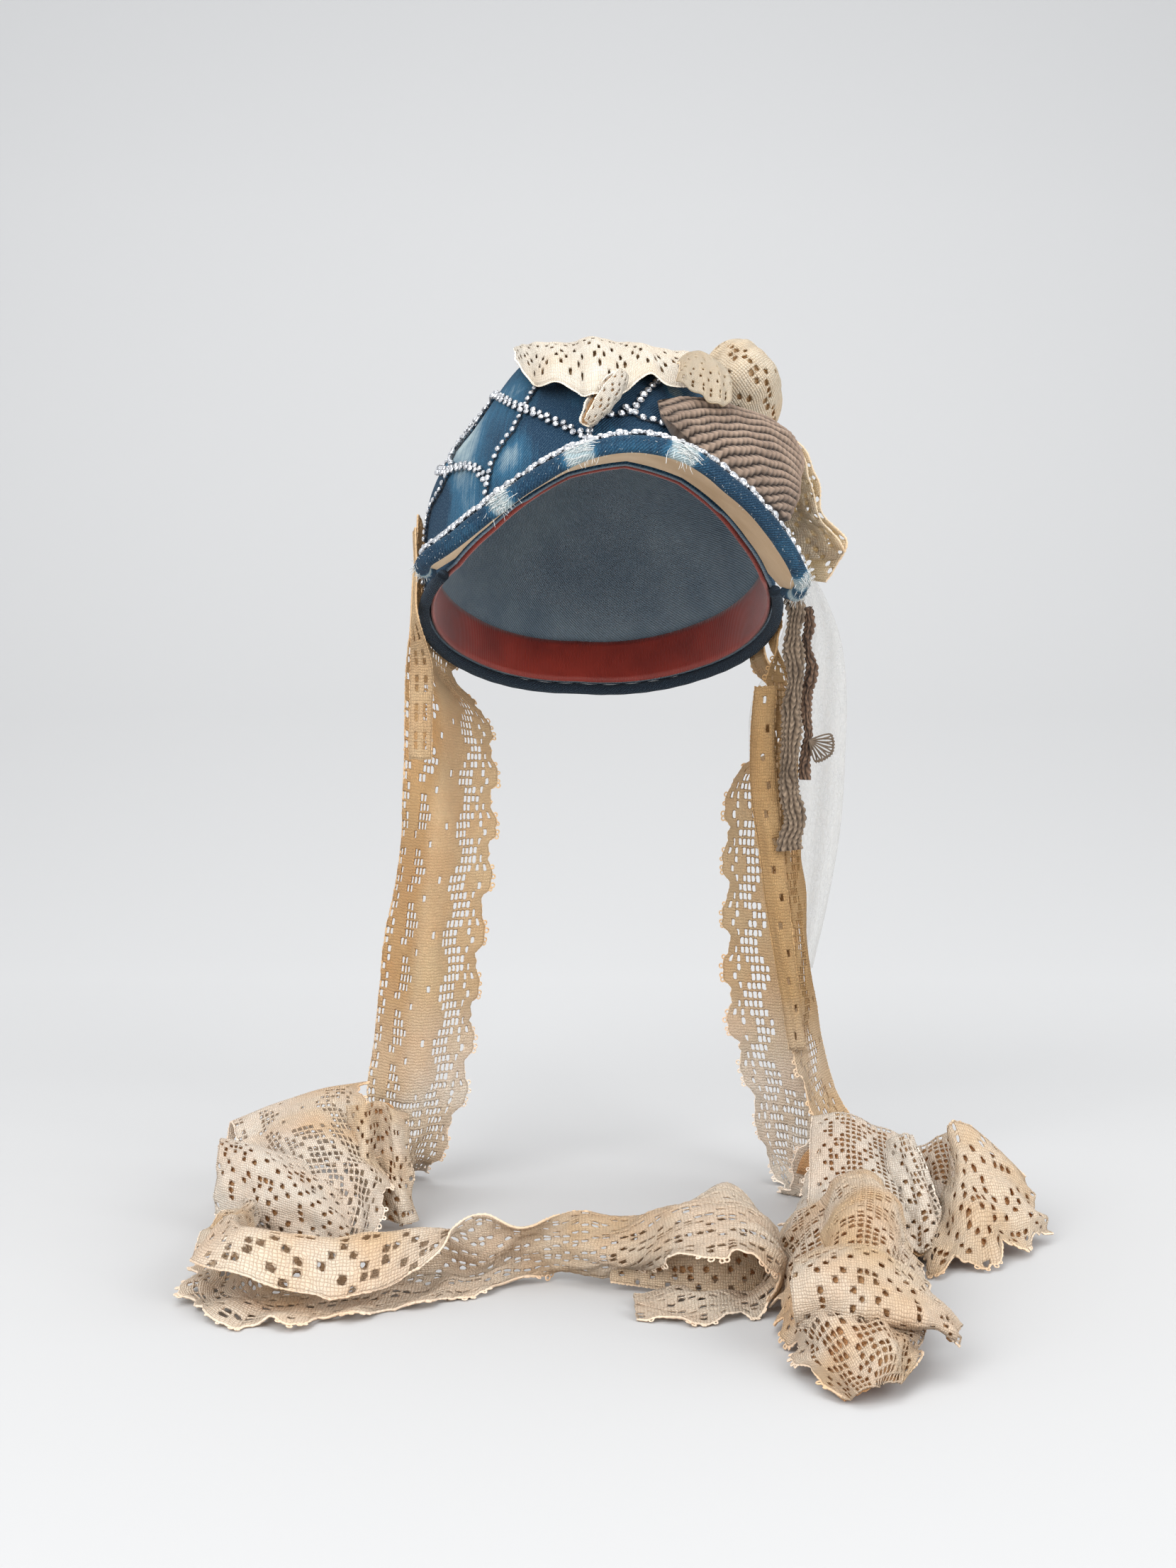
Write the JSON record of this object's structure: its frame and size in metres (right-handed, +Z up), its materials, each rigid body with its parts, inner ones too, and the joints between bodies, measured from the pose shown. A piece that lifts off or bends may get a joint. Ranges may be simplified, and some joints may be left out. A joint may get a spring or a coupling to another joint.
{
  "type": "decorated denim cap",
  "caption": "Peaked denim cap with a lattice of crystal chains, long crochet lace falls, a lace ruffle and a ribbed knitted bow.",
  "frame": {"origin": "centre of the head opening, where the cap sits on the head", "axes": "+Z up, -Y the way the visor faces, +X to the right as seen from the front; the cap sits tilted back as it is worn"},
  "size_m": [0.4031, 0.4664, 0.4382],
  "materials": {
    "denim": "washed twill with pale worn patches",
    "denim_dark": "dark washed twill",
    "underside": "plain cream cotton",
    "sweatband": "rust red satin",
    "stones": "faceted clear stones in bright metal settings",
    "lace": "ecru crochet lace",
    "lace_cream": "cream crochet lace",
    "sheer": "white sheer lace",
    "knit": "ribbed taupe wool knit"
  },
  "bodies": {
    "root": {"crown": "denim", "visor_board": "denim", "visor_underside": "underside", "visor_binding": "denim", "crystal_visor_row": "stones", "sweatband": "sweatband", "rim_binding": "denim_dark", "crystal_lattice": "stones", "lace_left": "lace", "lace_right": "lace", "lace_sash_right": "lace", "lace_insertion_left": "lace", "sheer_fall": "sheer", "lace_ruffle_top": "lace_cream", "lace_puff": "lace_cream", "lace_ruffle_side": "lace_cream", "knit_bow": "knit", "knit_tail_long": "knit", "knit_tail_short": "knit", "knit_flower": "knit"}
  },
  "joints": []
}
